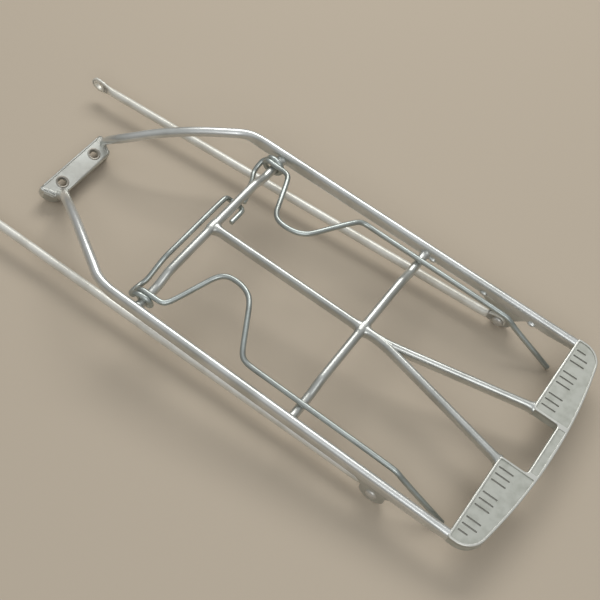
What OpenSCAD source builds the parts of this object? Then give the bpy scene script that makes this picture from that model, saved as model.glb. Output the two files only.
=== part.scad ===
// Cast rear rack with two sprung clip wires and two swinging stays.
// Deck directions: X forward, Y to the left, Z up; the front cross bar is at X = 0
// and the tops of the side rails are at Z = 0. place() stands the deck on its feet.

/* [Deck frame] */
// distance between the centre lines of the side rails
rail_spacing = 132; // [110:1:160]
// width of a side rail
rail_width = 5; // [4:0.25:8]
// depth of a side rail
rail_depth = 8.5; // [7:0.25:12]
// where the side rails turn inward, ahead of the front cross bar
rail_front = 20; // [14:1:30]
// front cross bar to mid cross bar
mid_bar_back = 101; // [85:1:120]
// front cross bar to the front edge of the rear plate
plate_front_back = 196; // [180:1:220]
// diameter of the cross bars
bar_diameter = 5.2; // [4.5:0.1:6]
// how far the cross bar ends, and the hinge line, lie below the rail tops
hinge_drop = 6.4; // [5.8:0.1:8]
// width of the centre rib and its branches
rib_width = 4.4; // [3.5:0.1:6]
// depth of the centre rib and its branches
rib_depth = 6.5; // [5:0.25:8]
// front cross bar to the fork of the rib
fork_back = 114; // [108:1:130]
// sideways reach of the branches at the rear plate
branch_reach = 18.2; // [14:0.2:24]
// diameter of the front arms
arm_diameter = 5.8; // [5:0.1:7]

/* [Rear plate] */
// depth of the rear plate at the centre line
plate_depth = 22; // [18:0.5:30]
// radius of the rear outline
plate_curve = 300; // [220:10:500]
// radius of the rear corners
corner_radius = 12; // [8:0.5:16]
// thickness of the plate skin
skin = 2.6; // [2:0.1:4]
// thickness of the skirt round the plate
skirt = 2.6; // [2:0.1:4]
// width of the raised rim round each wing
rim_width = 1.6; // [1:0.1:2.5]
// how far the wing panels lie below their rims
panel_recess = 0.7; // [0.3:0.1:1.2]
// half width of the notch between the wings
notch_half = 16.4; // [12:0.2:20]
// depth of the strip left behind the notch
strip_depth = 6.5; // [5:0.25:9]
// length of one groove
groove_length = 8.4; // [6:0.2:10]
// width of one groove
groove_width = 0.9; // [0.6:0.1:1.4]
// spacing of the grooves in a group
groove_pitch = 4; // [3:0.1:5]
// inner groove of each group, from the centre line
groove_starts = [22, 38, 53.8]; // [20:0.1:60]

/* [Front bracket] */
// front cross bar to the bracket holes
bracket_forward = 103; // [90:1:120]
// how far the bracket holes lie below the rail tops
bracket_drop = 37.6; // [30:0.2:44]
// upward tilt of the bracket top toward the front
bracket_tilt = 20; // [0:1:35]
// length of the bracket across the bicycle
bracket_length = 55; // [48:0.5:64]
// width of the bracket top, front to back
bracket_width = 13; // [11:0.25:16]
// depth of the rounded bracket ends
bracket_depth = 12.5; // [10:0.25:16]
// wall thickness of the bracket
bracket_wall = 2.8; // [2:0.1:4]
// distance between the two fixing holes
hole_spacing = 27.7; // [24:0.1:32]
// diameter of the fixing holes
hole_diameter = 5.5; // [4.5:0.1:6.5]
// diameter of the raised ring round a fixing hole
hole_ring = 8.6; // [7.5:0.1:10]

/* [Clip wires] */
// diameter of the spring wire
wire_diameter = 3; // [2.5:0.1:3.2]
// gap from the inner side of a rail to the centre line of its clip wire
wire_inset = 7.9; // [7:0.1:9]
// radial clearance between coil and bar end
coil_clearance = 0.1; // [0.05:0.01:0.2]
// turns in each coil
coil_turns = 2; // [1:1:2]
// gap between the coil and the fixed leg
leg_gap = 0.35; // [0.3:0.05:0.6]

/* [Stays and rivets] */
// front cross bar to the stay rivets
rivet_back = 154.5; // [145:0.5:165]
// how far the rivets lie below the rail tops
rivet_drop = 19.5; // [17:0.5:23]
// diameter of the stay rod
stay_diameter = 4.8; // [4:0.1:6]
// rivet to the lower fixing hole, measured forward
stay_reach = 293.5; // [260:0.5:340]
// how far the lower fixing holes lie below the rivets
stay_fall = 20.5; // [15:0.5:26]
// how far the stays draw together toward the front
stay_draw = 3.6; // [0:0.1:6]
// thickness of the flattened eyes
eye_thickness = 2.7; // [2:0.1:3.2]
// outer diameter of the riveted eye
rear_eye = 8.6; // [7.5:0.1:10]
// outer diameter of the lower eye
front_eye = 10.6; // [9:0.1:13]
// diameter of the lower fixing hole
front_eye_hole = 5.5; // [4.5:0.1:6.5]
// diameter of the rivet shank
rivet_diameter = 3.8; // [3:0.1:4.5]
// diameter of the rivet heads
rivet_head = 6.6; // [6:0.1:8]
// thickness of a rivet head
head_thickness = 1.6; // [1.2:0.1:2]
// radial clearance of the eye on the rivet
rivet_clearance = 0.08; // [0.03:0.01:0.1]
// side clearance beside the riveted eye
eye_side_gap = 0.05; // [0.02:0.01:0.2]
// thickness of the lug that carries a stay
lug_thickness = 2.5; // [2:0.1:4]
// radius of the lug round the rivet
lug_radius = 7.5; // [6.5:0.1:9]

/* [Hidden] */
$fn = 48;
rail_y = rail_spacing / 2;
rail_inner = rail_y - rail_width / 2;
rail_outer = rail_y + rail_width / 2;
root = 1.2;
bar_z = -bar_diameter / 2;
wire_radius = wire_diameter / 2;
coil_radius = bar_diameter / 2 + coil_clearance + wire_radius;
coil_pitch = wire_diameter - 0.1;
wire_side = rail_inner - wire_inset;
dip_outer = wire_side - 8.6;
dip_inner = dip_outer - 9;
arm_top = coil_radius - hinge_drop;
plate_x = -plate_front_back;
plate_rear = plate_x - plate_depth;
curve_x = plate_rear + plate_curve;
corner_y = rail_outer - corner_radius;
corner_x = curve_x - sqrt(pow(plate_curve - corner_radius, 2) - pow(corner_y, 2));
notch_x = plate_rear + strip_depth;
branch_length = sqrt(pow(plate_front_back - fork_back, 2) + pow(branch_reach, 2));
branch_angle = atan2(branch_reach, plate_front_back - fork_back);
lug_outer = rail_y + 0.5;
lug_inner = lug_outer - lug_thickness;
eye_outer = lug_inner - eye_side_gap;
eye_y = eye_outer - eye_thickness / 2;
eye_inner = eye_outer - eye_thickness;
eye_hole = rivet_diameter + 2 * rivet_clearance;
rod_start = 9;
rod_end = stay_reach - 9;
// rounded feet: the bracket ends in front, the lugs behind
foot_radius = bracket_width / 2;
foot_reach = bracket_depth - foot_radius;
foot_front = [bracket_forward + foot_reach * sin(bracket_tilt), -bracket_drop - foot_reach * cos(bracket_tilt)];
foot_rear = [-rivet_back, -rivet_drop];
foot_span = foot_front - foot_rear;
lean = atan2(-foot_span[1], foot_span[0]) + asin((foot_radius - lug_radius) / norm(foot_span));
tip_x = stay_reach - rivet_back;
tip_z = -rivet_drop - stay_fall;
shift_x = -(plate_rear * cos(lean) + tip_x * cos(lean) - tip_z * sin(lean) + front_eye / 2) / 2;
shift_z = lug_radius - foot_rear[0] * sin(lean) - foot_rear[1] * cos(lean);
wire_sides = 10;
arm_sides = 16;
coil_steps = 20;

// the coil, wound inward from its outer end to the top of the bar end
coil_path = [
    for (i = [coil_turns * coil_steps : -1 : 1])
        let (turn = 360 * i / coil_steps)
            [coil_radius * sin(turn), wire_side + coil_pitch * i / coil_steps, coil_radius * cos(turn) - hinge_drop]
];

// places along one clip wire: back from the coil, sideways, up
arm_of_wire = [
    [0, wire_side, arm_top],
    [-9, wire_side, arm_top],
    [-11.8, wire_side - 1.6, arm_top + 0.1],
    [-14.6, wire_side - 8, arm_top + 0.6],
    [-20, wire_side - 22, arm_top + 2.2],
    [-22.8, wire_side - 28.6, arm_top + 3.4],
    [-26.6, wire_side - 32.2, arm_top + 4.6],
    [-31.8, wire_side - 33.4, arm_top + 5],
    [-38.6, wire_side - 32.8, arm_top + 5],
    [-44, wire_side - 30.2, arm_top + 5],
    [-47.4, wire_side - 26.2, arm_top + 5],
    [-50.4, wire_side - 21.2, arm_top + 4.8],
    [-59.8, wire_side - 4.8, arm_top + 3],
    [-62.6, wire_side - 1, arm_top + 1.6],
    [-66.6, wire_side, arm_top + 0.6],
    [-72, wire_side, arm_top + 0.3],
    [-156.5, wire_side, arm_top + 0.3],
    [-160.5, wire_side, arm_top - 1],
    [-164.5, wire_side, arm_top - 4.4],
    [-191, wire_side, arm_top - 19.6]
];

// the left wire's fixed leg: under the bar, along its front, hooked back under
leg_low = -hinge_drop - coil_radius - leg_gap - wire_diameter;
left_leg_path = [
    [6.2, wire_side + coil_pitch + 0.8, leg_low + 1.2],
    [7.4, wire_side - 0.6, leg_low + 0.8],
    [8.2, wire_side - 7, leg_low + 1.8],
    [8.6, wire_side - 12.4, leg_low + 4],
    [8.2, wire_side - 17, -5.8],
    [7.6, wire_side - 22.6, -3.2],
    [7.2, wire_side - 28.6, -2.4],
    [7, 38.6 - wire_side, -2.4],
    [6.8, 35 - wire_side, -3.4],
    [5.4, 33.2 - wire_side, bar_z - bar_diameter / 2 - wire_radius + 0.3],
    [0, 33 - wire_side, bar_z - bar_diameter / 2 - wire_radius + 0.3],
    [-4.2, 34.2 - wire_side, bar_z - bar_diameter / 2 - wire_radius + 0.4],
    [-5.1, 37.6 - wire_side, -5.2],
    [-5.4, 46.2 - wire_side, -4.2]
];

// the right wire's fixed leg: slanting under the bar to a tail behind it
right_leg_path = [
    [6.2, -wire_side - coil_pitch - 0.8, leg_low + 1.2],
    [7.6, -wire_side + 0.4, leg_low + 0.9],
    [8.2, 5.6 - wire_side, leg_low + 1.6],
    [6, 10.6 - wire_side, leg_low + 3.6],
    [3.5, 17.6 - wire_side, -8.6],
    [0, 24.6 - wire_side, bar_z - bar_diameter / 2 - wire_radius + 0.2],
    [-1.4, 29.4 - wire_side, bar_z - bar_diameter / 2 - wire_radius + 0.2]
];

// centre line of a front arm, from the rail to the bracket
arm_path = [
    [rail_front - 3, rail_y - 0.4, -3.2],
    [rail_front + 3.5, rail_y - 1, -3.3],
    [rail_front + 9, rail_y - 3.2, -3.7],
    [rail_front + 14.5, rail_y - 6.8, -4.4],
    [47, 51.8, -6.3],
    [61, 43, -9.8],
    [75, 34.6, -15.4],
    [86, 28.2, -21.6],
    [93, 25.2, -25.8],
    [bracket_forward - 4.5, 22.8, -bracket_drop + 6.6],
    [bracket_forward - 2, 21, -bracket_drop - 1.4]
];

cast_colour = [0.78, 0.79, 0.80];
plate_colour = [0.70, 0.72, 0.71];
wire_colour = [0.55, 0.58, 0.60];
stay_colour = [0.72, 0.72, 0.70];
rivet_colour = [0.66, 0.67, 0.68];

// stands the deck on its feet, with the floor at Z = 0
module place() {
    translate([shift_x, 0, shift_z])
        rotate([0, -lean, 0])
            children();
}

// a round rod from one place to another
module rod(from, to, diameter) {
    run = to - from;
    reach = norm(run);
    translate(from)
        rotate([0, acos(run[2] / reach), atan2(run[1], run[0])])
            cylinder(d = diameter, h = reach);
}

// a round rod along a list of places, with a ball at each turn
module bent_rod(path, diameter) {
    for (i = [0 : len(path) - 2])
        rod(path[i], path[i + 1], diameter);
    for (i = [1 : len(path) - 2])
        translate(path[i])
            sphere(d = diameter * 1.015);
}

function unit(v) = v / norm(v);

// a path with every corner cut once
function cut_corners(path) = [
    path[0],
    for (i = [1 : len(path) - 2])
        each [0.3 * path[i - 1] + 0.7 * path[i], 0.7 * path[i] + 0.3 * path[i + 1]],
    path[len(path) - 1]
];

// direction of a path at one of its places
function heading(path, i) = unit(path[min(i + 1, len(path) - 1)] - path[max(i - 1, 0)]);

// sideways directions carried along a path without twist
function carried(path, side) = [
    for (
        i = 0, n = unit(side - (side * heading(path, 0)) * heading(path, 0));
        i < len(path);
        i = i + 1, n = unit(n - (n * heading(path, i)) * heading(path, i))
    )
        n
];

// a bent round rod along a path; side is any direction across its start
module swept_rod(path, diameter, side, sides) {
    last = len(path) - 1;
    across = carried(path, side);
    places = [
        for (i = [0 : last])
            for (k = [0 : sides - 1])
                path[i] + diameter / 2 * (
                    cos(360 * k / sides) * across[i] + sin(360 * k / sides) * cross(heading(path, i), across[i])
                )
    ];
    walls = [
        for (i = [0 : last - 1])
            for (k = [0 : sides - 1])
                let (a = i * sides + k, b = i * sides + (k + 1) % sides)
                    each [[b, a, a + sides], [b, a + sides, b + sides]]
    ];
    start_face = [for (k = [0 : sides - 1]) k];
    end_face = [for (k = [sides - 1 : -1 : 0]) last * sides + k];
    polyhedron(places, concat(walls, [start_face, end_face]));
}

// cross-section of a rail or rib: flat sides and a round top
module round_top(width, depth) {
    translate([0, -width / 2])
        circle(d = width);
    translate([-width / 2, -depth])
        square([width, depth - width / 2]);
}

// a rail or rib of that section, running back from the origin
module member(width, depth, length) {
    rotate([90, 0, -90])
        linear_extrude(height = length)
            round_top(width, depth);
}

module side_rail() {
    translate([rail_front, rail_y, 0])
        member(rail_width, rail_depth, rail_front + plate_front_back + root);
}

module left_side_rail() {
    color(cast_colour)
        side_rail();
}

module right_side_rail() {
    color(cast_colour)
        mirror([0, 1, 0])
            side_rail();
}

module front_arm() {
    swept_rod(cut_corners(cut_corners(arm_path)), arm_diameter, [0, 0, 1], arm_sides);
}

module left_front_arm() {
    color(cast_colour)
        front_arm();
}

module right_front_arm() {
    color(cast_colour)
        mirror([0, 1, 0])
            front_arm();
}

// side view of a bracket end: flat on top and rounded below
module bracket_end_profile(inset) {
    half = bracket_width / 2 - inset;
    translate([0, -bracket_depth + inset + half])
        circle(r = half);
    translate([-half, -bracket_depth + inset + half])
        square([2 * half, bracket_depth - 2 * inset - half]);
}

module front_bracket() {
    color(cast_colour)
        translate([bracket_forward, 0, -bracket_drop])
            rotate([0, -bracket_tilt, 0])
                difference() {
                    union() {
                        rotate([90, 0, 0])
                            linear_extrude(height = bracket_length, center = true)
                                bracket_end_profile(0);
                        for (side = [-1, 1])
                            translate([0, side * hole_spacing / 2, 0])
                                cylinder(d = hole_ring, h = 0.5);
                    }
                    rotate([90, 0, 0])
                        linear_extrude(height = bracket_length - 2 * bracket_wall, center = true)
                            translate([-bracket_wall, 0])
                                bracket_hollow();
                    for (side = [-1, 1])
                        translate([0, side * hole_spacing / 2, -bracket_depth])
                            cylinder(d = hole_diameter, h = 2 * bracket_depth);
                }
}

// hollow under the bracket top, open below and to the rear
module bracket_hollow() {
    translate([-bracket_width, -2 * bracket_depth])
        square([1.5 * bracket_width, 2 * bracket_depth - bracket_wall]);
}

// a cross bar, raised in the middle to the level of the rail tops
module cross_bar() {
    bent_rod([
        [0, -rail_inner - root, -hinge_drop],
        [0, -dip_outer, -hinge_drop],
        [0, -dip_inner, bar_z],
        [0, dip_inner, bar_z],
        [0, dip_outer, -hinge_drop],
        [0, rail_inner + root, -hinge_drop]
    ], bar_diameter);
}

module front_cross_bar() {
    color(cast_colour)
        cross_bar();
}

module mid_cross_bar() {
    color(cast_colour)
        translate([-mid_bar_back, 0, 0])
            cross_bar();
}

module centre_rib() {
    color(cast_colour)
        member(rib_width, rib_depth, fork_back);
}

module branch() {
    translate([-fork_back, 0, 0])
        rotate([0, 0, -branch_angle])
            member(rib_width, rib_depth, branch_length + root);
}

module left_rib_branch() {
    color(cast_colour)
        branch();
}

module right_rib_branch() {
    color(cast_colour)
        mirror([0, 1, 0])
            branch();
}

// outline of the rear plate without its notch, drawn in by inset
module plate_outline(inset) {
    reach = 2 * plate_curve;
    turn = asin(corner_y / (plate_curve - corner_radius));
    intersection() {
        translate([curve_x, 0])
            circle(r = plate_curve - inset, $fn = 180);
        translate([curve_x, 0])
            polygon([[0, 0], [-reach * cos(turn), -reach * sin(turn)], [-reach * cos(turn), reach * sin(turn)]]);
        translate([plate_rear - 1, -rail_outer])
            square([plate_depth + 1 - inset, 2 * rail_outer]);
    }
    intersection() {
        for (side = [-1, 1])
            translate([corner_x, side * corner_y])
                circle(r = corner_radius - inset);
        translate([plate_rear, -rail_outer])
            square([plate_depth - inset, 2 * rail_outer]);
    }
    translate([corner_x, -rail_outer + inset])
        square([plate_x - inset - corner_x, 2 * (rail_outer - inset)]);
    translate([corner_x - corner_radius + 1.5, -corner_y])
        square([plate_x - inset - corner_x + corner_radius - 1.5, 2 * corner_y]);
}

// the notch between the wings, widened by inset
module notch(inset) {
    translate([notch_x - inset, -notch_half - inset])
        square([plate_depth, 2 * (notch_half + inset)]);
}

// flat panel of one wing, inside its rim
module wing_panel() {
    difference() {
        plate_outline(rim_width);
        translate([plate_rear - 1, -rail_outer])
            square([plate_depth + 2, rail_outer + notch_half + rim_width]);
    }
}

module wing_grooves() {
    for (start = groove_starts)
        for (i = [0 : 2])
            translate([plate_x - rim_width - 1.2 - groove_length, start + i * groove_pitch - groove_width / 2])
                square([groove_length, groove_width]);
}

module rear_plate() {
    color(plate_colour)
        difference() {
            translate([0, 0, -rail_depth])
                linear_extrude(height = rail_depth)
                    difference() {
                        plate_outline(0);
                        notch(0);
                    }
            translate([0, 0, -rail_depth - 1])
                linear_extrude(height = rail_depth + 1 - panel_recess - skin)
                    difference() {
                        plate_outline(skirt);
                        notch(skirt);
                    }
            for (side = [0, 1])
                mirror([0, side, 0]) {
                    translate([0, 0, -panel_recess])
                        linear_extrude(height = 2 * panel_recess)
                            wing_panel();
                    translate([0, 0, -2 * panel_recess])
                        linear_extrude(height = 2 * panel_recess)
                            wing_grooves();
                }
        }
}

// side view of the web that joins a stay lug to its rail
module lug_web() {
    polygon([
        [-14, rivet_drop - rail_depth + root],
        [17, rivet_drop - rail_depth + root],
        [0.9 * lug_radius, 0.2 * lug_radius],
        [0.7 * lug_radius, -0.5 * lug_radius],
        [-0.7 * lug_radius, -0.5 * lug_radius],
        [-0.9 * lug_radius, 0.2 * lug_radius]
    ]);
}

module stay_lug() {
    translate([-rivet_back, lug_outer, -rivet_drop])
        rotate([90, 0, 0])
            difference() {
                union() {
                    linear_extrude(height = lug_thickness)
                        lug_web();
                    cylinder(r = lug_radius, h = lug_thickness);
                }
                translate([0, 0, -1])
                    cylinder(d = rivet_diameter, h = lug_thickness + 2);
            }
}

module left_stay_lug() {
    color(cast_colour)
        stay_lug();
}

module right_stay_lug() {
    color(cast_colour)
        mirror([0, 1, 0])
            stay_lug();
}

module stay_rivet() {
    translate([-rivet_back, 0, -rivet_drop])
        rotate([-90, 0, 0]) {
            translate([0, 0, eye_inner - eye_side_gap - head_thickness])
                cylinder(d1 = rivet_head * 0.6, d2 = rivet_head, h = head_thickness);
            translate([0, 0, eye_inner - eye_side_gap])
                cylinder(d = rivet_diameter, h = lug_outer - eye_inner + eye_side_gap);
            translate([0, 0, lug_outer])
                cylinder(d1 = rivet_head, d2 = rivet_head * 0.6, h = head_thickness);
        }
}

module left_stay_rivet() {
    color(rivet_colour)
        stay_rivet();
}

module right_stay_rivet() {
    color(rivet_colour)
        mirror([0, 1, 0])
            stay_rivet();
}

module clip_wire() {
    swept_rod(concat(coil_path, cut_corners(arm_of_wire)), wire_diameter, [0, 1, 0], wire_sides);
}

module left_clip_wire() {
    color(wire_colour)
        clip_wire();
}

module right_clip_wire() {
    color(wire_colour)
        mirror([0, 1, 0])
            clip_wire();
}

module left_clip_leg() {
    color(wire_colour)
        swept_rod(cut_corners(cut_corners(left_leg_path)), wire_diameter, [0, 0, 1], wire_sides);
}

module right_clip_leg() {
    color(wire_colour)
        swept_rod(cut_corners(cut_corners(right_leg_path)), wire_diameter, [0, 0, 1], wire_sides);
}

// flattened end of a stay, lying in the plane of its swing
module stay_eye(outer, hole, tab) {
    rotate([90, 0, 0])
        linear_extrude(height = eye_thickness, center = true)
            difference() {
                union() {
                    circle(d = outer);
                    polygon([[0, -outer / 2], [0, outer / 2], [tab, stay_diameter / 2], [tab, -stay_diameter / 2]]);
                }
                circle(d = hole);
            }
}

module stay() {
    along = [stay_reach, -stay_draw, -stay_fall];
    pitch = atan2(stay_fall, stay_reach);
    translate([-rivet_back, eye_y, -rivet_drop]) {
        rotate([0, pitch, 0])
            stay_eye(rear_eye, eye_hole, rod_start + 6);
        rod(along * (rod_start / stay_reach), along * (rod_end / stay_reach), stay_diameter);
        translate(along)
            rotate([0, pitch, 0])
                mirror([1, 0, 0])
                    stay_eye(front_eye, front_eye_hole, stay_reach - rod_end + 6);
    }
}

module left_stay() {
    color(stay_colour)
        stay();
}

module right_stay() {
    color(stay_colour)
        mirror([0, 1, 0])
            stay();
}

place() {
    left_side_rail();
    right_side_rail();
    left_front_arm();
    right_front_arm();
    front_bracket();
    front_cross_bar();
    mid_cross_bar();
    centre_rib();
    left_rib_branch();
    right_rib_branch();
    rear_plate();
    left_stay_lug();
    right_stay_lug();
    left_stay_rivet();
    right_stay_rivet();
    left_clip_wire();
    right_clip_wire();
    left_clip_leg();
    right_clip_leg();
    left_stay();
    right_stay();
}
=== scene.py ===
# %% [markdown]
# # A cast rear rack for a bicycle
# The rack is one polished aluminium casting: two side rails that run forward
# into arms, two cross bars, a forked rib, a rear plate and a bracket. Two spring
# wires clip the luggage, and two rods on rivets reach down to the wheel axle.
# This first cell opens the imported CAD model. Every new piece is made in the same
# frame, so nothing has to be fitted afterwards.

import math

import bmesh
import bpy
from mathutils import Matrix, Vector


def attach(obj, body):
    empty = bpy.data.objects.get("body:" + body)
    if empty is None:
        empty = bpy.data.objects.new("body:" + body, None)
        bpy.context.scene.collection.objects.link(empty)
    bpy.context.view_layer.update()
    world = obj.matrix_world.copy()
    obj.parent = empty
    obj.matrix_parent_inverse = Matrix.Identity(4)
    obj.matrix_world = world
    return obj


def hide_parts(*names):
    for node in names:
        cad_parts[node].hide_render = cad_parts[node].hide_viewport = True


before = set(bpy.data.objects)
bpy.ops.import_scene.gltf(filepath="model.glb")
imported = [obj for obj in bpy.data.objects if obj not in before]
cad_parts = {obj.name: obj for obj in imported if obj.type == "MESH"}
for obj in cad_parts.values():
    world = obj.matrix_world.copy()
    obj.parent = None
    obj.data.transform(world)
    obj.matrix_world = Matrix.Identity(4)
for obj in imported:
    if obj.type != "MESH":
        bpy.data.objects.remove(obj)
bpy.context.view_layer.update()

# %% [markdown]
# ## The deck's own directions
# The rack stands on its bracket ends and stay lugs, so its deck leans up toward
# the front. It is far easier to model along the deck: X forward, Y to the left,
# Z up, millimetres, with the front cross bar at X = 0 and the rail tops at Z = 0.
# One matrix then stands every finished piece on its feet. The lean comes from the
# line that touches both rounded feet, as in the CAD source.

# %% Deck to row frame
MM = 0.001
RAIL_Y, RAIL_W, RAIL_H = 66.0, 5.0, 8.5
MID_BAR, PLATE_X, PLATE_D = -101.0, -196.0, 22.0
BAR_R, DIP_Z, BAR_Z = 2.6, -6.4, -2.6
RIVET = Vector((-154.5, 0.0, -19.5))
BRACKET = Vector((103.0, 0.0, -37.6))
BRACKET_W, BRACKET_D, BRACKET_L, TILT = 13.0, 12.5, 55.0, math.radians(20)
LUG_R, TIP_X, TIP_Z, FRONT_EYE_R = 7.5, 139.0, -40.0, 5.3

foot_r = BRACKET_W / 2
foot = BRACKET + (BRACKET_D - foot_r) * Vector((math.sin(TILT), 0, -math.cos(TILT)))
span = foot - RIVET
LEAN = math.atan2(-span.z, span.x) + math.asin((foot_r - LUG_R) / span.length)
rear_x = PLATE_X - PLATE_D
rear_end = rear_x * math.cos(LEAN)
front_end = TIP_X * math.cos(LEAN) - TIP_Z * math.sin(LEAN) + FRONT_EYE_R
SHIFT_X = -(rear_end + front_end) / 2
SHIFT_Z = LUG_R - RIVET.x * math.sin(LEAN) - RIVET.z * math.cos(LEAN)
DECK = (
    Matrix.Scale(MM, 4)
    @ Matrix.Translation((SHIFT_X, 0, SHIFT_Z))
    @ Matrix.Rotation(-LEAN, 4, "Y")
)
print(f"lean {math.degrees(LEAN):.2f} degrees, shift {SHIFT_X:.2f}, {SHIFT_Z:.2f} mm")

# %% [markdown]
# ## Camera
# The view looks down on the deck from behind its left side. The camera was placed
# by matching known points of the deck, so its directions are given in deck terms
# and turned into the row frame by the same matrix as the pieces.

# %% Camera
cam_data = bpy.data.cameras.new("view_camera")
cam_data.lens, cam_data.sensor_width = 60.0, 36.0
camera = bpy.data.objects.new("view_camera", cam_data)
bpy.context.scene.collection.objects.link(camera)
cam_at = Vector((-184.79, 251.24, 457.52))
cam_right = Vector((-0.8032654, -0.58683834, 0.10190906))
cam_down = Vector((-0.55178264, 0.66874516, -0.49831299))
cam_ahead = Vector((0.22427798, -0.45650923, -0.86098705))
turn = Matrix((cam_right, -cam_down, -cam_ahead)).transposed().to_4x4()
deck_turn = Matrix.Rotation(-LEAN, 4, "Y")
camera.matrix_world = Matrix.Translation(DECK @ cam_at) @ deck_turn @ turn
bpy.context.scene.camera = camera
print("camera at", [round(v, 4) for v in camera.location])

# %% [markdown]
# ## Floor and light
# A plain pale floor carries the soft shadow. Bare metal shows what is around it, so
# the world is a studio gradient: bright overhead, grey at the sides. Two large soft
# lamps draw the long white lines along the polished edges.

# %% Floor, world and lamps
def node_material(name):
    """A material with its Principled shader, its tree and a helper to add nodes."""
    mat = bpy.data.materials.new(name)
    mat.use_nodes = True
    tree = mat.node_tree
    shader = tree.nodes["Principled BSDF"]

    def add(kind, links=(), **values):
        node = tree.nodes.new(kind)
        for key, value in values.items():
            if key.startswith("in_"):
                node.inputs[int(key[3:])].default_value = value
            else:
                setattr(node, key, value)
        for source, target in links:
            tree.links.new(source, node.inputs[target])
        return node

    return mat, tree, shader, add


floor_mat, tree, shader, add = node_material("floor_pale")
shader.inputs["Base Color"].default_value = (0.50, 0.43, 0.34, 1)
shader.inputs["Roughness"].default_value = 0.9
shader.inputs["Specular IOR Level"].default_value = 0.15
coord = add("ShaderNodeTexCoord")
grain = add("ShaderNodeTexNoise", [(coord.outputs["Object"], 0)], in_2=420.0)
bump = add("ShaderNodeBump", [(grain.outputs[0], "Height")], in_0=0.06, in_1=0.0004)
tree.links.new(bump.outputs[0], shader.inputs["Normal"])

bm = bmesh.new()
bmesh.ops.create_grid(bm, x_segments=1, y_segments=1, size=3.0)
floor_mesh = bpy.data.meshes.new("floor")
bm.to_mesh(floor_mesh)
bm.free()
floor = bpy.data.objects.new("floor", floor_mesh)
floor.data.materials.append(floor_mat)
bpy.context.scene.collection.objects.link(floor)

world = bpy.data.worlds.new("studio")
bpy.context.scene.world = world
world.use_nodes = True
wt = world.node_tree
back = wt.nodes["Background"]
wcoord = wt.nodes.new("ShaderNodeTexCoord")
split = wt.nodes.new("ShaderNodeSeparateXYZ")
ramp = wt.nodes.new("ShaderNodeValToRGB")
wt.links.new(wcoord.outputs["Generated"], split.inputs[0])
wt.links.new(split.outputs["Z"], ramp.inputs[0])
wt.links.new(ramp.outputs[0], back.inputs[0])
ramp.color_ramp.elements[0].position = 0.0
ramp.color_ramp.elements[0].color = (0.16, 0.15, 0.14, 1)
ramp.color_ramp.elements[1].position = 1.0
ramp.color_ramp.elements[1].color = (0.62, 0.64, 0.66, 1)
stop = ramp.color_ramp.elements.new(0.45)
stop.color = (0.33, 0.33, 0.32, 1)
back.inputs[1].default_value = 1.0


def soft_lamp(name, place, target, size, watts, tint):
    data = bpy.data.lights.new(name, "AREA")
    data.shape, data.size, data.size_y = "RECTANGLE", size[0], size[1]
    data.energy, data.color = watts, tint
    lamp = bpy.data.objects.new(name, data)
    bpy.context.scene.collection.objects.link(lamp)
    lamp.location = place
    lamp.rotation_euler = (Vector(target) - Vector(place)).to_track_quat("-Z", "Y").to_euler()
    return lamp


soft_lamp("key_window", (0.35, -0.75, 0.95), (0, 0, 0), (0.9, 0.5), 7.0, (1.0, 0.99, 0.97))
soft_lamp("fill_sheet", (-0.55, 0.65, 0.9), (0, 0, 0), (0.7, 0.7), 3.6, (0.97, 0.98, 1.0))
bpy.context.scene.view_settings.view_transform = "Standard"

# %% [markdown]
# ## Bare metal
# Seven finishes share one recipe: a metal colour, a roughness that wanders a
# little, fine pits as a faint bump, and a darker bloom where hands never rub.
# Everything is driven by object coordinates, so it needs no unwrapping. The table
# gives, for each finish: light and dark colour, roughness and its spread, scale and
# depth of the pits, and how metallic it is.

# %% Metal materials
def metal(name, light, dark, rough, rough_spread, pit_scale, pit_depth, bare_share=1.0, cloud=55.0):
    mat, tree, shader, add = node_material(name)
    coord = add("ShaderNodeTexCoord")
    bloom = add("ShaderNodeTexNoise", [(coord.outputs["Object"], 0)], in_2=cloud, in_3=5.0)
    fine = add("ShaderNodeTexNoise", [(coord.outputs["Object"], 0)], in_2=pit_scale, in_3=2.0)
    tone = add("ShaderNodeValToRGB", [(bloom.outputs[0], 0)])
    tone.color_ramp.elements[0].position, tone.color_ramp.elements[0].color = 0.32, (*dark, 1)
    tone.color_ramp.elements[1].position, tone.color_ramp.elements[1].color = 0.58, (*light, 1)
    spread = add("ShaderNodeMapRange", [(fine.outputs[0], 0)])
    spread.inputs["From Min"].default_value, spread.inputs["From Max"].default_value = 0.3, 0.7
    spread.inputs["To Min"].default_value = rough - rough_spread
    spread.inputs["To Max"].default_value = rough + rough_spread
    bump = add("ShaderNodeBump", [(fine.outputs[0], "Height")], in_0=0.5, in_1=pit_depth)
    shader.inputs["Metallic"].default_value = bare_share
    tree.links.new(tone.outputs[0], shader.inputs["Base Color"])
    tree.links.new(spread.outputs[0], shader.inputs["Roughness"])
    tree.links.new(bump.outputs[0], shader.inputs["Normal"])
    return mat, tree, shader, add


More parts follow.
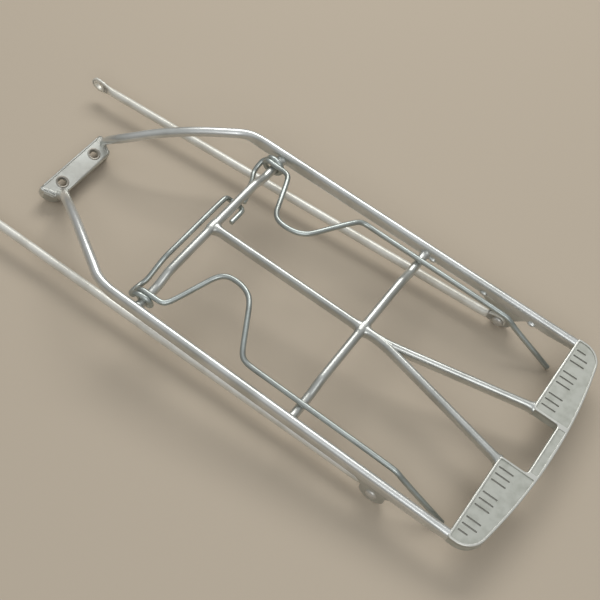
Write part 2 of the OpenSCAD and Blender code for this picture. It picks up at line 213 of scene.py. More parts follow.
FINISHES = {
    "cast_polished": ((0.71, 0.72, 0.70), (0.56, 0.57, 0.54), 0.31, 0.02, 500, 0.000003, 0.80),
    "cast_bar_grey": ((0.58, 0.59, 0.56), (0.46, 0.47, 0.44), 0.32, 0.03, 600, 0.000003, 0.80),
    "cast_brushed": ((0.60, 0.61, 0.57), (0.47, 0.47, 0.43), 0.36, 0.05, 700, 0.00001, 0.70),
    "spring_steel": ((0.46, 0.50, 0.48), (0.33, 0.35, 0.33), 0.36, 0.06, 900, 0.00001, 0.88),
    "stay_dull": ((0.78, 0.77, 0.71), (0.62, 0.60, 0.53), 0.46, 0.08, 800, 0.00003, 0.40),
    "rivet_dull": ((0.68, 0.67, 0.63), (0.46, 0.44, 0.40), 0.40, 0.08, 900, 0.00003, 0.6),
    # dark colour for the bracket's hole rings: painted shade of a countersunk hole edge
    "hole_ring_shade": ((0.36, 0.34, 0.30), (0.20, 0.18, 0.15), 0.42, 0.10, 900, 0.00003, 0.7),
}
metals = {name: metal(name, *values)[0] for name, values in FINISHES.items()}
polished, bar_grey, arm_dull, wire_steel, stay_dull, rivet_dull, hole_ring_shade = metals.values()
print("metals:", list(metals))

# %% [markdown]
# ## The rear plate's finish
# The plate's wings are a satin cast skin between polished rims. The rim tops are
# painted lighter, partly for the polish and partly as a painted highlight, and the
# grooves are painted darker as shade, which is kept off the skirt. All of it follows from one
# measure, how deep a point lies below the rail tops, which the shader works out from the lean.

# %% Plate material
plate_mat, tree, shader, add = metal(
    "plate_satin", (0.50, 0.51, 0.46), (0.41, 0.42, 0.37), 0.46, 0.08, 900, 0.00004, 0.5, cloud=190.0
)
coord = add("ShaderNodeTexCoord")
parts = add("ShaderNodeSeparateXYZ", [(coord.outputs["Object"], 0)])
forward = add("ShaderNodeMath", [(parts.outputs["X"], 0)], operation="MULTIPLY", in_1=-math.sin(LEAN))
upward = add("ShaderNodeMath", [(parts.outputs["Z"], 0)], operation="MULTIPLY", in_1=math.cos(LEAN))
total = add("ShaderNodeMath", [(forward.outputs[0], 0), (upward.outputs[0], 1)], operation="ADD")
zero = (SHIFT_Z * math.cos(LEAN) - SHIFT_X * math.sin(LEAN)) * MM
depth = add("ShaderNodeMath", [(total.outputs[0], 0)], operation="SUBTRACT", in_1=zero)


def band(low, high):
    """0 below low and 1 above high, in metres over the rail tops; turned round if low is the larger."""
    node = add("ShaderNodeMapRange", [(depth.outputs[0], 0)], interpolation_type="SMOOTHSTEP")
    node.inputs["From Min"].default_value, node.inputs["From Max"].default_value = low, high
    return node.outputs[0]


rim_mask = band(-0.00045, -0.00015)
# painted shade: surfaces between about 1.4 and 2 mm below the rail tops, the groove floors, get a darker
# colour
above_grooves = band(-0.0014, -0.0009)
old_colour = shader.inputs["Base Color"].links[0].from_socket
old_rough = shader.inputs["Roughness"].links[0].from_socket
skirt_mask = band(-0.0016, -0.0020)
unshaded = add("ShaderNodeMath", [(above_grooves, 0), (skirt_mask, 1)], operation="MAXIMUM")
# the darker painted shade colour in the grooves, left off the deeper skirt
groove_shade = add("ShaderNodeMix", [(unshaded.outputs[0], 0), (old_colour, 7)], data_type="RGBA")
groove_shade.inputs[6].default_value = (0.31, 0.30, 0.27, 1)
# rim tops: the lower roughness is real polish; the lighter colour is partly polish and partly a painted
# highlight
rim_polish_highlight = add("ShaderNodeMix", [(rim_mask, 0), (groove_shade.outputs[2], 6)], data_type="RGBA")
rim_polish_highlight.inputs[7].default_value = (0.66, 0.66, 0.61, 1)
sheen = add("ShaderNodeMix", [(rim_mask, 0), (old_rough, 2)], data_type="FLOAT", in_3=0.28)
tree.links.new(rim_polish_highlight.outputs[2], shader.inputs["Base Color"])
tree.links.new(sheen.outputs[0], shader.inputs["Roughness"])
print("plate finish made")

# %% [markdown]
# ## Sweeping a section along a path
# Rails, arms, bars, wires and stays are all rods that change section as they go.
# Each one starts as a single face. The face is extruded from station to station
# and its corners are set on the next section, so the skin stays closed and even.
# The face of each station stays behind inside the rod, as a hidden partition.

# %% Sweep helpers
SIDES = 22


def finish_mesh(name, bm, material, body, replaced=(), sharp=38, even=False):
    """Stands a finished mesh on its feet and hands it to its body; even=True smooths flat faces evenly."""
    bmesh.ops.transform(bm, matrix=DECK, verts=bm.verts)
    bmesh.ops.recalc_face_normals(bm, faces=bm.faces)
    mesh = bpy.data.meshes.new(name)
    bm.to_mesh(mesh)
    bm.free()
    for poly in mesh.polygons:
        poly.use_smooth = True
    mesh.set_sharp_from_angle(angle=math.radians(sharp))
    piece = bpy.data.objects.new(name, mesh)
    piece.data.materials.append(material)
    bpy.context.scene.collection.objects.link(piece)
    if even:
        weigh = piece.modifiers.new("even", "WEIGHTED_NORMAL")
        weigh.weight, weigh.keep_sharp = 100, True
        bpy.context.view_layer.update()
        done = bpy.data.meshes.new_from_object(piece.evaluated_get(bpy.context.evaluated_depsgraph_get()))
        piece.modifiers.clear()
        piece.data = done
        bpy.data.meshes.remove(mesh)
        mesh = done
        mesh.name = name
    if replaced:
        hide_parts(*replaced)
    if body:
        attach(piece, body)
    print(f"{name}: {len(mesh.polygons)} faces")
    return piece


def soften(points, rounds=3, cut=0.25):
    """Cuts every corner of a path a few times."""
    points = [Vector(p) for p in points]
    for _ in range(rounds):
        out = [points[0]]
        for a, b, c in zip(points, points[1:], points[2:]):
            out += [b.lerp(a, cut), b.lerp(c, cut)]
        points = out + [points[-1]]
    return points


def resample(points, step):
    """Even stations along a path, its ends kept."""
    run = [0.0]
    for a, b in zip(points, points[1:]):
        run.append(run[-1] + (b - a).length)
    count = max(2, round(run[-1] / step))
    out, at = [], 0
    for i in range(count + 1):
        want = run[-1] * i / count
        while at < len(points) - 2 and run[at + 1] < want:
            at += 1
        part = (want - run[at]) / max(run[at + 1] - run[at], 1e-9)
        out.append(points[at].lerp(points[at + 1], part))
    return out


def stations(points, up=None):
    """(place, sideways, upward) at each point; up fixes the roll, else it is carried along."""
    out, carried = [], Vector(up or (0.13, 0.21, 0.97))
    for i, p in enumerate(points):
        ahead = points[min(i + 1, len(points) - 1)] - points[max(i - 1, 0)]
        ahead.normalize()
        base = Vector(up) if up else carried
        v = (base - base.dot(ahead) * ahead).normalized()
        carried = v
        out.append((p, ahead.cross(v).normalized(), v))
    return out


def sweep(bm, rings):
    """Extrudes a face along rings of equal length. The skin is closed; each ring's face stays inside."""
    layer = bm.verts.layers.int.get("turn") or bm.verts.layers.int.new("turn")
    verts = [bm.verts.new(p) for p in rings[0]]
    for k, v in enumerate(verts):
        v[layer] = k
    face = bm.faces.new(verts)
    for ring in rings[1:]:
        grown = bmesh.ops.extrude_face_region(bm, geom=[face])["geom"]
        face = next(g for g in grown if isinstance(g, bmesh.types.BMFace))
        for v in face.verts:
            v.co = ring[v[layer]]


def extrude(bm, face, shift):
    """Extrudes one face straight by a shift."""
    grown = bmesh.ops.extrude_face_region(bm, geom=[face])["geom"]
    bmesh.ops.translate(bm, verts=[g for g in grown if isinstance(g, bmesh.types.BMVert)], vec=shift)


def place_ring(station, section):
    p, u, v = station
    return [p + a * u + b * v for a, b in section]


def circle(radius, count=SIDES):
    """A round section with as many corners as rail_section()."""
    top = [math.pi * k / 12 for k in range(13)]
    rest = [math.pi + math.pi * k / (count - 12) for k in range(1, count - 12)]
    return [(radius * math.cos(a), radius * math.sin(a)) for a in top + rest]


def rail_section(width, height, draft=0.25, corner=0.9):
    """Round on top, slightly drawn in below, with eased lower corners."""
    r, h = width / 2, height / 2
    top = [(r * a, h - r + r * b) for a, b in circle(1)[:13]]
    side = [
        (r - 0.3 * draft, -0.1 * h),
        (r - draft, -h + corner),
        (r - draft - 0.2 * corner, -h + 0.35 * corner),
        (r - draft - 0.8 * corner, -h),
    ]
    return top + [(-a, b) for a, b in side] + [(0, -h)] + side[::-1]


def blend_section(a, b, t):
    """Section a at t = 0, section b at t = 1, and a smooth change between them."""
    t = min(max(t, 0.0), 1.0)
    t = t * t * (3 - 2 * t)
    return [(p[0] * (1 - t) + q[0] * t, p[1] * (1 - t) + q[1] * t) for p, q in zip(a, b)]


def scaled(section, s, s_up=None):
    """A section made wider by s and taller by s_up, which is s when it is left out."""
    return [(a * s, b * (s if s_up is None else s_up)) for a, b in section]


print("sections have", len(rail_section(RAIL_W, RAIL_H)), "and", len(circle(1)), "corners")

# %% [markdown]
# ## Side rails that turn into arms
# On the real casting a rail is a blade with a round top, and ahead of the front
# bar it turns inward, goes round in section and drops to the bracket. One sweep
# with a section that changes on the way keeps that transition smooth. Near the
# bracket the arm swells into it.

# %% Rails and arms
ARM_PATH = [
    (23.5, 65.0, -3.5), (29, 62.8, -3.8), (34.5, 59.2, -4.4), (47, 51.8, -6.3), (61, 43, -9.8),
    (75, 34.6, -15.4),
]
ARM_END = {
    1: [(84, 29, -21), (90, 25.2, -27.6), (96.2, 20.6, -37), (98.5, 19, -41)],
    -1: [(86, 28.2, -21.6), (93, 25.2, -25.8), (99, 24.4, -30.6), (103.4, 24.4, -35.4), (105, 23.6, -39)],
}
ARM_R = 2.9
PLATE_RAIL_H = 6.9
NUB_R, NUB_STRETCH, NUB_X = 1.0, (2.4, 1.3, 1.3, 1), (-106, -140, -171)


def mirrored(points, side):
    return [(x, side * y, z) for x, y, z in points]


def rail(side):
    path = [(PLATE_X - 0.9, RAIL_Y, -RAIL_H / 2), (-60, RAIL_Y, -RAIL_H / 2), (10, RAIL_Y, -RAIL_H / 2),
            (17, RAIL_Y, -RAIL_H / 2)] + ARM_PATH + ARM_END[side]
    points = resample(soften(mirrored(path, side)), 1.6)
    blade, round_rod = rail_section(RAIL_W, RAIL_H), circle(ARM_R)
    rings = []
    for p, u, v in stations(points, up=(0, 0, 1)):
        section = blend_section(blade, round_rod, (p.x - 14) / 16)
        # the left arm swells into the bracket, the right one flattens under its corner
        swell = min(max((-p.z - 26) / 12, 0.0), 1.0)
        if side > 0:
            wide, tall = 1 + 0.45 * swell ** 2, 1 + 0.3 * swell ** 2
        else:
            wide, tall = 1, 1 - 0.26 * math.sqrt(swell)
        # the blade gets shallower toward the plate, its top kept level
        thin = 1 - (1 - PLATE_RAIL_H / RAIL_H) * min(max((PLATE_X + 14 - p.x) / 14, 0.0), 1.0)
        lift = Vector((0, 0, RAIL_H / 2 * (1 - thin)))
        rings.append(place_ring((p + lift, u, v), scaled(section, wide, tall * thin)))
    bm = bmesh.new()
    sweep(bm, rings)
    return bm


for name, side in (("left", 1), ("right", -1)):
    bm = rail(side)
    finish_mesh(f"{name}_rail_and_arm", bm, polished, "deck",
                (f"{name}_side_rail", f"{name}_front_arm"))

nubs = bmesh.new()
for x in NUB_X:
    for side in (-1, 1):
        spot = Matrix.Translation((x, side * (RAIL_Y - RAIL_W / 2 + 0.1), -RAIL_H + 1.5))
        bmesh.ops.create_uvsphere(nubs, u_segments=20, v_segments=12, radius=NUB_R,
                                  matrix=spot @ Matrix.Diagonal(NUB_STRETCH))
finish_mesh("rail_cast_nubs", nubs, polished, "deck", ())

# %% [markdown]
# ## Cross bars
# Both bars are round. They run level with the rail tops in the middle and dip near
# the ends, which leaves room for the clip wires. Where they meet the rails the
# casting has small fillets, made here as a flare of the swept section.

# %% Cross bars
def flare(distance, reach, grow):
    """1 away from a junction, rising to 1 + grow at it, like a fillet."""
    t = min(max(1 - distance / reach, 0.0), 1.0)
    return 1 + grow * (1 - math.sqrt(max(0.0, 1 - t * t)))


def cross_bar(x, rib_grow):
    end = RAIL_Y - RAIL_W / 2
    path = [(x, end + 1, DIP_Z), (x, 48.5, DIP_Z), (x, 46, DIP_Z + 0.6), (x, 39, BAR_Z - 0.6),
            (x, 36.5, BAR_Z), (x, 0, BAR_Z)]
    path += [(x, -y, z) for x, y, z in path[-2::-1]]
    points = resample(soften(path, 2), 1.0)
    rings = []
    for p, u, v in stations(points, up=(0, 0, 1)):
        s = flare(end - abs(p.y), 3.2, 0.42) * flare(max(abs(p.y) - 2.2, 0), 3.5, rib_grow)
        rings.append(place_ring((p, u, v), scaled(circle(BAR_R), s, min(s, 1.12))))
    bm = bmesh.new()
    sweep(bm, rings)
    return bm


finish_mesh("front_bar", cross_bar(0, 0.25), bar_grey, "deck", ("front_cross_bar",))
finish_mesh("mid_bar", cross_bar(MID_BAR, 0.35), bar_grey, "deck", ("mid_cross_bar",))

# %% [markdown]
# ## The forked rib
# A blade like the rails runs back from the front bar, crosses the mid bar and
# splits in two. Each branch starts inside the rib and leaves it along a curve, so
# the crotch closes by itself, and each widens a little where it meets another part.

# %% Rib and branches
RIB_W, RIB_H, FORK_X, REACH = 4.4, 6.5, -114.0, 18.2


def rib_rings(points):
    rings = []
    for p, u, v in stations(points, up=(0, 0, 1)):
        s = flare(max(abs(p.x) - BAR_R, 0), 4.5, 0.7)
        s *= flare(max(abs(p.x - MID_BAR) - BAR_R, 0), 5.0, 0.6)
        s *= flare(max(p.x - PLATE_X, 0), 5.0, 0.5) if abs(p.y) > 5 else 1
        rings.append(place_ring((p, u, v), scaled(rail_section(RIB_W, RIB_H, 0.3, 0.8), s, 1)))
    return rings


bm = bmesh.new()
stem = [Vector((x, 0, -RIB_H / 2)) for x in (0.4, -119)]
sweep(bm, rib_rings(resample(stem, 0.8)))
slope = REACH / (FORK_X - PLATE_X)
for side in (-1, 1):
    branch = [(-104, 0), (FORK_X, 0.35), (-122, 8 * slope), (PLATE_X - 0.9, REACH + 0.9 * slope)]
    branch = [(x, side * y, -RIB_H / 2) for x, y in branch]
    sweep(bm, rib_rings(resample(soften(branch, 2), 0.8)))
finish_mesh("forked_rib", bm, bar_grey, "deck",
            ("centre_rib", "left_rib_branch", "right_rib_branch"))

# %% [markdown]
# ## The rear plate
# The plate is a thin shell with a deep skirt, curved behind and notched in the
# middle. Its two wings are sunk between raised rims and carry groups of short
# grooves. The shallow strip behind the notch stays plain. The outline is extruded
# and its edges rounded. Sunk panels, grooves and the hollow below are then cut
# away, because a cut leaves the crisp inner corner that a cast rim has.

# %% Plate outline and cutters
CURVE, CORNER, NOTCH, STRIP = 300.0, 12.0, 16.4, 6.5
RIM, SINK, SKIN, SKIRT = 1.25, 0.7, 2.6, 2.6
GROOVE_R, GROOVE_PITCH, GROOVE_GROUPS = 0.45, 4, (22, 38, 53.8)
OUT, PLATE_H = RAIL_Y + RAIL_W / 2, 6.8
curve_x = rear_x + CURVE
corner_y = OUT - CORNER
corner_x = curve_x - math.sqrt((CURVE - CORNER) ** 2 - corner_y ** 2)
notch_x = rear_x + STRIP
lean_out = math.asin(corner_y / (CURVE - CORNER))


def rounded(points, radius, steps=5):
    """Replaces each sharp corner of a closed outline by a small arc."""
    out = []
    for i, b in enumerate(points):
        a, c = points[i - 1], points[(i + 1) % len(points)]
        ab, cb = (Vector(a) - Vector(b)), (Vector(c) - Vector(b))
        if ab.length < radius * 2.2 or cb.length < radius * 2.2 or ab.angle(cb) > math.radians(150):
            out.append(tuple(b))
            continue
        p, q = Vector(b) + ab.normalized() * radius, Vector(b) + cb.normalized() * radius
        for k in range(steps + 1):
            t = k / steps
            m = p.lerp(Vector(b), t).lerp(Vector(b).lerp(q, t), t)
            out.append((m.x, m.y))
    return out


def arc(centre, radius, start, stop, count):
    return [(centre[0] + radius * math.cos(start + (stop - start) * k / count),
             centre[1] + radius * math.sin(start + (stop - start) * k / count)) for k in range(count + 1)]


def rear_edge(d, inner):
    """Outline of one wing from its front outer corner round to y = inner on the rear curve."""
    side = [(PLATE_X - d, OUT - d)]
    bend = arc((corner_x, corner_y), CORNER - d, math.pi / 2, math.pi - lean_out, 16)
    end = math.asin(inner / (CURVE - d))
    rear = arc((curve_x, 0), CURVE - d, math.pi - lean_out, math.pi - end, 14)
    return side + bend + rear[1:]


def wing(d, side):
    points = [(PLATE_X - d, NOTCH + d)] + rear_edge(d, NOTCH + d)
    return [(x, side * y) for x, y in rounded(points, 0.9)]


def whole_plate(d):
    half = rear_edge(d, 0.0)
    left = [(notch_x - d, NOTCH + d), (PLATE_X - d, NOTCH + d)] + half
    return rounded(left + [(x, -y) for x, y in left[-2::-1]], 1.9)


def slab(bm, outline, low, high):
    extrude(bm, bm.faces.new([bm.verts.new((x, y, high)) for x, y in outline]), (0, 0, low - high))
    return bm


def cut(target, cutters, bevel=0.0, segments=2):
    """Cuts pieces out of target for good, then eases the sharp edges."""
    temps = []
    for i, bm in enumerate(cutters):
        bmesh.ops.recalc_face_normals(bm, faces=bm.faces)
        mesh = bpy.data.meshes.new(f"cutter_{i}")
        bm.to_mesh(mesh)
        bm.free()
        tool = bpy.data.objects.new(f"cutter_{i}", mesh)
        bpy.context.scene.collection.objects.link(tool)
        temps.append(tool)
        mod = target.modifiers.new("cut", "BOOLEAN")
        mod.operation, mod.solver, mod.object = "DIFFERENCE", "EXACT", tool
    if bevel:
        mod = target.modifiers.new("ease", "BEVEL")
        mod.width, mod.segments = bevel, segments
        mod.limit_method, mod.angle_limit = "ANGLE", math.radians(35)
    bpy.context.view_layer.update()
    done = bpy.data.meshes.new_from_object(target.evaluated_get(bpy.context.evaluated_depsgraph_get()))
    target.modifiers.clear()
    bm = bmesh.new()
    bm.from_mesh(done)
    bpy.data.meshes.remove(done)
    for tool in temps:
        mesh = tool.data
        bpy.data.objects.remove(tool)
        bpy.data.meshes.remove(mesh)
    mesh = target.data
    bpy.data.objects.remove(target)
    bpy.data.meshes.remove(mesh)
    return bm


def bare(bm, name="blank"):
    """A temporary object for cut(), in deck millimetres."""
    bmesh.ops.recalc_face_normals(bm, faces=bm.faces)
    mesh = bpy.data.meshes.new(name)
    bm.to_mesh(mesh)
    bm.free()
    blank = bpy.data.objects.new(name, mesh)
    bpy.context.scene.collection.objects.link(blank)
    return blank


body = slab(bmesh.new(), whole_plate(0), -PLATE_H, 0)
top_edges = [e for e in body.edges if all(abs(v.co.z) < 1e-6 for v in e.verts)]
bmesh.ops.bevel(body, geom=top_edges, offset=0.7, offset_type="OFFSET", segments=3, affect="EDGES",
                profile=0.5, material=-1)
hollow = slab(bmesh.new(), whole_plate(SKIRT), -PLATE_H - 1, -SINK - SKIN)
panels = bmesh.new()
grooves = bmesh.new()
for side in (-1, 1):
    slab(panels, wing(RIM, side), -SINK, 1)
    for start in GROOVE_GROUPS:
        for i in range(3):
            y, front = start + GROOVE_PITCH * i, PLATE_X - RIM - 1.2
            length = 8.4 if y < 60 else 5.5
            ends = arc((front - GROOVE_R, y), GROOVE_R, -math.pi / 2, math.pi / 2, 5)
            ends += arc((front - length + GROOVE_R, y), GROOVE_R, math.pi / 2, 1.5 * math.pi, 5)
            slab(grooves, [(x, side * v) for x, v in ends], -2 * SINK, 0.5)
strip_rear, strip_front, strip_half = rear_x + 1.5, notch_x - 1.1, 15
corners = [(strip_rear, -strip_half), (strip_front, -strip_half),
           (strip_front, strip_half), (strip_rear, strip_half)]
strip = slab(bmesh.new(), rounded(corners, 0.8), -0.5, 1)
plate_bm = cut(bare(body), [hollow, panels, grooves, strip], bevel=0.16)
finish_mesh("plate_shell", plate_bm, plate_mat, "deck", ("rear_plate",),
            sharp=42, even=True)

# %% [markdown]
# ## The frame bracket
# The bracket is a short channel, flat on top and closed by D-shaped ends, tilted
# up toward the front. Two holes with raised rings take the bolts. The D profile is
# swept across and drawn in at both ends, its edges are rounded, and the channel and
# the holes are cut out. The block still holds its partitions when it is cut, so the
# number of its faces varies a little from run to run.

# %% Bracket
WALL, SLANT, END_ROUND, END_CUT = 2.8, 0.4, 2.8, 0.94
HOLE_Y, HOLE_R, RING_R = 13.85, 2.75, 4.0
BEAD_R, BEAD_STEPS = 0.62, 180
TO_BRACKET = Matrix.Translation(BRACKET) @ Matrix.Rotation(-TILT, 4, "Y")


def slant_ends(bm, extra=0.0):
    """Draws the rear corners inward, so that the ends face along the arms."""
    for v in bm.verts:
        v.co.y -= math.copysign(extra + SLANT * (BRACKET_W / 2 - v.co.x), v.co.y)


def d_profile(half, depth):
    low = arc((0, -depth + half), half, 0, -math.pi, 18)
    return [(half, 0)] + low + [(-half, 0)]


bm = bmesh.new()
outline = d_profile(BRACKET_W / 2, BRACKET_D)
rings = []
for k in range(8):
    t = END_CUT * (1 - k / 7)
    inset = END_ROUND * (1 - math.sqrt(1 - t * t))
    across = -BRACKET_L / 2 + END_ROUND * (END_CUT - t)
    narrow, shallow = 1 - 2 * inset / BRACKET_W, 1 - inset / BRACKET_D
    rings.append([Vector((x * narrow, across, z * shallow)) for x, z in outline])
rings += [[Vector((p.x, -p.y, p.z)) for p in ring] for ring in rings[::-1]]
sweep(bm, rings)
slant_ends(bm)
edges = [e for e in bm.edges if e.is_manifold and e.calc_face_angle(0) > math.radians(40)]
bmesh.ops.bevel(bm, geom=edges, offset=1.5, offset_type="OFFSET", segments=6, affect="EDGES",
                profile=0.5, material=-1)
bmesh.ops.recalc_face_normals(bm, faces=bm.faces)
ends = [f for f in bm.faces if abs(f.normal.y) > 0.6 and f.calc_area() > 40]
bmesh.ops.inset_individual(bm, faces=ends, thickness=0.5, depth=-0.6, use_even_offset=True)
channel = bmesh.new()
x0, x1, z0, z1 = -BRACKET_W, BRACKET_W / 2 - WALL, -2 * BRACKET_D, -WALL
face = channel.faces.new([channel.verts.new((x, -BRACKET_L / 2 + WALL, z)) for x, z in
                          ((x0, z0), (x1, z0), (x1, z1), (x0, z1))])
extrude(channel, face, (0, BRACKET_L - 2 * WALL, 0))
slant_ends(channel, 0.6)
holes = bmesh.new()
for side in (-1, 1):
    at = Matrix.Translation((0, side * HOLE_Y, -3))
    bmesh.ops.create_cone(holes, cap_ends=True, segments=36, radius1=HOLE_R, radius2=HOLE_R, depth=12,
                          matrix=at)
bracket_bm = cut(bare(bm), [channel, holes], bevel=0.35, segments=3)
bmesh.ops.transform(bracket_bm, matrix=TO_BRACKET, verts=bracket_bm.verts)
finish_mesh("bracket_channel", bracket_bm, arm_dull, "deck", ("front_bracket",),
            sharp=42, even=True)

ring_bm = bmesh.new()
for side in (-1, 1):
    section = [(HOLE_R + 0.02, -0.4), (RING_R, -0.4), (RING_R, 0.12), (RING_R - 0.3, 0.3),
               (HOLE_R + 0.6, 0.3), (HOLE_R + 0.02, 0.1)]
    verts = [ring_bm.verts.new((r, 0, z)) for r, z in section]
    edges = [ring_bm.edges.new((verts[i], verts[(i + 1) % len(verts)])) for i in range(len(verts))]
    bmesh.ops.spin(ring_bm, geom=verts + edges, cent=(0, 0, 0), axis=(0, 0, 1), angle=2 * math.pi,
                   steps=40, use_merge=True, use_duplicate=False)
    fresh = [v for v in ring_bm.verts if abs(v.co.y) < RING_R + 1 and not v.tag]
    bmesh.ops.translate(ring_bm, verts=fresh, vec=(0, side * HOLE_Y, 0))
    for v in ring_bm.verts:
        v.tag = True
bmesh.ops.transform(ring_bm, matrix=TO_BRACKET, verts=ring_bm.verts)
# the hole rings carry the painted shade colour
finish_mesh("bracket_hole_rings", ring_bm, hole_ring_shade, "deck", ())

bead = bmesh.new()
rings = []
for k in range(BEAD_STEPS + 1):
    p = Vector((BRACKET_W / 2 - 0.85, 24.5 - 49 * k / BEAD_STEPS, -0.15))
    taper = min(1.0, (k + 1) / 8, (BEAD_STEPS + 1 - k) / 8)
    ripple = 1 + 0.13 * math.sin(k * 1.55)
    rings.append(place_ring((p, Vector((1, 0, 0)), Vector((0, 0, 1))), circle(BEAD_R * taper * ripple)))
sweep(bead, rings)
bmesh.ops.transform(bead, matrix=TO_BRACKET, verts=bead.verts)
finish_mesh("bracket_front_bead", bead, arm_dull, "deck", ())

# %% [markdown]
# ## Stay lugs and rivets
# A web hangs from each rail and ends in a round eye. The rivet is a headed pin: its
# domed heads are turned, so their half profile is spun about the rivet's axis.

# %% Lugs and rivets
LUG_OUT, LUG_T = RAIL_Y + 0.5, 2.5
EYE_T, EYE_GAP, SHANK_R, HEAD_R, HEAD_T = 2.7, 0.05, 1.9, 3.3, 1.6
EYE_Y = LUG_OUT - LUG_T - EYE_GAP - EYE_T / 2


def lug(side):
    top = -RIVET.z - RAIL_H + 1.2
    foot_line = arc((0, 0), LUG_R, math.radians(25), math.radians(-205), 30)
    outline = rounded([(17, top)] + foot_line + [(-14, top)], 0.8)
    bm = bmesh.new()
    extrude(bm, bm.faces.new([bm.verts.new((x, 0, z)) for x, z in outline]), (0, -LUG_T, 0))
    edges = [e for e in bm.edges if e.calc_face_angle(0) > math.radians(60)]
    bmesh.ops.bevel(bm, geom=edges, offset=0.5, offset_type="OFFSET", segments=3, affect="EDGES",
                    profile=0.5, material=-1)
    bmesh.ops.translate(bm, verts=bm.verts, vec=RIVET + Vector((0, LUG_OUT, 0)))
    if side < 0:
        bmesh.ops.scale(bm, vec=(1, -1, 1), verts=bm.verts)
    return bm


def rivet(side):
    inner = EYE_Y - EYE_T / 2 - EYE_GAP
    dome = [(HEAD_R * math.cos(a), HEAD_T * math.sin(a)) for a in [math.pi / 2 * k / 8 for k in range(9)]]
    profile = [(r, LUG_OUT + h) for r, h in dome[::-1]]
    profile += [(SHANK_R - 0.02, LUG_OUT), (SHANK_R - 0.02, inner)]
    profile += [(r, inner - h) for r, h in dome]
    bm = bmesh.new()
    verts = [bm.verts.new((r if r > 1e-6 else 0, y, 0)) for r, y in profile]
    edges = [bm.edges.new(pair) for pair in zip(verts, verts[1:])]
    bmesh.ops.spin(bm, geom=verts + edges, cent=(0, 0, 0), axis=(0, 1, 0), angle=2 * math.pi, steps=32,
                   use_merge=True, use_duplicate=False)
    bmesh.ops.remove_doubles(bm, verts=bm.verts, dist=1e-4)
    bmesh.ops.translate(bm, verts=bm.verts, vec=RIVET)
    if side < 0:
        bmesh.ops.scale(bm, vec=(1, -1, 1), verts=bm.verts)
    return bm


for name, side in (("left", 1), ("right", -1)):
    finish_mesh(f"{name}_lug", lug(side), arm_dull, "deck", (f"{name}_stay_lug",), even=True)
    finish_mesh(f"{name}_rivet", rivet(side), rivet_dull, "deck", (f"{name}_stay_rivet",))

# %% [markdown]
# ## Swinging stays
# A stay is a drawn rod whose ends are pressed flat and punched. One sweep does it:
# the section goes from round to a flat bar, its width follows the round of the eye,
# and the hole is punched out afterwards.

# %% Stays
STAY_R, REACH_X, FALL, DRAW = 2.6, 293.5, 20.5, 3.6
REAR_EYE_R, REAR_HOLE_R, FRONT_HOLE_R = 4.3, 1.98, 2.75


def flat_section(width, thick):
    """A bar with rounded edges: width along v, thickness along u, as many corners as circle()."""
    out = []
    for a, b in circle(1.0):
        ux = math.copysign(abs(a) ** 0.55, a) * thick / 2
        out.append((ux, b * width / 2))
    return out


def stay(side):
    start = Vector((RIVET.x, EYE_Y, RIVET.z))
    end = start + Vector((REACH_X, -DRAW, -FALL))
    ahead = (end - start).normalized()
    length = (end - start).length
    across = Vector((0, 1, 0))
    v = ahead.cross(across).normalized()
    u = v.cross(ahead).normalized()

    def width_at(t, eye_r):
        """Width of the pressed end, t from the hole's centre along the rod."""
        if t <= 0:
            return 2 * math.sqrt(max(eye_r ** 2 - t ** 2, 0.02))
        k = min(t / (eye_r * 2.4), 1)
        return 2 * (eye_r * (1 - k * k * (3 - 2 * k)) + STAY_R * k * k * (3 - 2 * k))

    marks = []
    for eye_r in (REAR_EYE_R, FRONT_EYE_R):
        ts = [-eye_r * math.cos(math.pi / 2 * k / 10) for k in range(10)]
        ts += [eye_r * 3 * k / 14 for k in range(15)]
        marks.append([(t, width_at(t, eye_r), min(max((t - eye_r) / (eye_r * 1.6), 0), 1)) for t in ts])
    run = marks[0] + [(length * k / 30, 2 * STAY_R, 1) for k in range(2, 29)]
    run += [(length - t, w, f) for t, w, f in reversed(marks[1])]
    rings = []
    for t, w, f in run:
        section = blend_section(flat_section(w, EYE_T), circle(STAY_R), f)
        p = start + ahead * t
        rings.append([p + a * u + b * v for a, b in section])
    bm = bmesh.new()
    sweep(bm, rings)
    punches = bmesh.new()
    for p, r in ((start, REAR_HOLE_R), (end, FRONT_HOLE_R)):
        turn = Matrix.Translation(p) @ Matrix.Rotation(math.pi / 2, 4, "X")
        bmesh.ops.create_cone(punches, cap_ends=True, segments=32, radius1=r, radius2=r, depth=12,
                              matrix=turn)
    bm = cut(bare(bm), [punches], bevel=0.22)
    if side < 0:
        bmesh.ops.scale(bm, vec=(1, -1, 1), verts=bm.verts)
    return bm


for name, side in (("left", 1), ("right", -1)):
    finish_mesh(f"{name}_stay_rod", stay(side), stay_dull, f"{name}_stay_arm",
                (f"{name}_stay",))

# %% [markdown]
# ## Clip wires
# Each clip is one piece of spring wire: a leg braced on the front bar, a loose coil
# round the bar's end, and the arm with a finger loop that lies along the deck.
# The arm turns and the leg stays, so the wire is split where the leg leaves the
# coil. The arm takes the whole coil with it, and as it lifts, the coil slides on
# past the start of the leg, so the two still read as one wire.

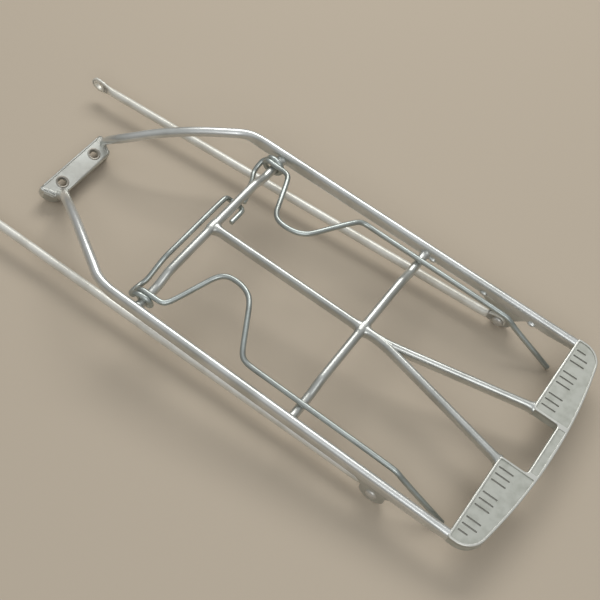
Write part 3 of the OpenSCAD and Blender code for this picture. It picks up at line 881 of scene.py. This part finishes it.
# %% Clip wires
WIRE_R, WIRE_Y, PITCH = 1.55, 55.6, 3.12
COIL_R, COIL_BULGE, COIL_SPAN = 4.3, 2.0, 440
END_CAP = 0.55
ARM_TOP = -2.2
ARM = [
    (-3, WIRE_Y, ARM_TOP + 0.2), (-9, WIRE_Y, ARM_TOP), (-11.8, WIRE_Y - 1.6, ARM_TOP + 0.1),
    (-14.6, 47.6, ARM_TOP + 0.6), (-20, 33.6, ARM_TOP + 2.2), (-22.8, 27, ARM_TOP + 3.4),
    (-26.6, 23.4, ARM_TOP + 4.6), (-31.8, 22.2, ARM_TOP + 5), (-38.6, 22.8, ARM_TOP + 5),
    (-44, 25.4, ARM_TOP + 5), (-47.4, 29.4, ARM_TOP + 5), (-50.4, 34.4, ARM_TOP + 4.8),
    (-59.8, 50.8, ARM_TOP + 3), (-62.6, WIRE_Y - 1, ARM_TOP + 1.6), (-66.6, WIRE_Y, ARM_TOP + 0.6),
    (-72, WIRE_Y, ARM_TOP + 0.3), (-156.5, WIRE_Y, ARM_TOP + 0.3), (-160.5, WIRE_Y, ARM_TOP - 1),
    (-164.5, WIRE_Y, ARM_TOP - 4.4), (-191, WIRE_Y, ARM_TOP - 19.6),
]
UNDER_BAR = BAR_Z - BAR_R - WIRE_R
LEFT_LEG = [
    (10.4, 51, -12), (9, 46, -11.2), (8.4, 41, -8), (7.8, 36, -4.6), (7.4, 31, -2.6), (7.2, 26, -2.4),
    (7, -17, -2.4), (6.8, -20.6, -3.4), (5.4, -22.4, UNDER_BAR + 0.1), (0, -22.6, UNDER_BAR + 0.1),
    (-4.2, -21.4, UNDER_BAR + 0.3), (-5.1, -18, -5.2), (-5.4, -9.4, -4.2),
]
RIGHT_LEG = [
    (10.2, 51, -12.6), (6.6, 45, -11.6), (3.5, 38, -9.2), (0, 31, UNDER_BAR), (-1.4, 26.2, UNDER_BAR),
]


def wire_piece(points):
    """A wire along the points, with both ends rounded over."""
    places = stations(points)
    rings = [place_ring(place, circle(WIRE_R)) for place in places]
    for end, inner in ((0, places[1][0]), (-1, places[-2][0])):
        p, u, v = places[end]
        outward = u.cross(v).normalized()
        if (p - inner).dot(outward) < 0:
            outward = -outward
        extra = []
        for k in range(1, 6):
            a = math.pi / 2 * k / 6
            at = p + outward * END_CAP * math.sin(a)
            extra.append(place_ring((at, u, v), circle(WIRE_R * (1 - 0.42 * (1 - math.cos(a))))))
        rings = extra[::-1] + rings if end == 0 else rings + extra
    bm = bmesh.new()
    sweep(bm, rings)
    return bm


def coil_points(side):
    """The coil from the leg to the arm, bulged forward where it lies loose round the bar."""
    out = []
    for deg in range(COIL_SPAN, 0, -9):
        a = math.radians(deg)
        reach = COIL_R + COIL_BULGE * max(0.0, math.sin(a)) ** 1.3
        along = WIRE_Y + PITCH * deg / 360
        out.append(Vector((reach * math.sin(a), side * along, DIP_Z + reach * math.cos(a))))
    return out


for name, side, leg in (("left", 1, LEFT_LEG), ("right", -1, RIGHT_LEG)):
    coil = coil_points(side)
    arm = resample(soften(mirrored(ARM, side), 3), 1.0)
    finish_mesh(f"{name}_clip_arm", wire_piece(coil + arm), wire_steel, f"{name}_clip",
                (f"{name}_clip_wire",))
    first = coil[0]
    lead = [first, first + Vector((1.4, -side * 0.2, -1.8)), first + Vector((3.4, -side * 1.6, -3.4))]
    path = soften(lead + mirrored(leg, side), 3)
    finish_mesh(f"{name}_clip_brace", wire_piece(resample(path, 0.8)), wire_steel, "deck",
                (f"{name}_clip_leg",))
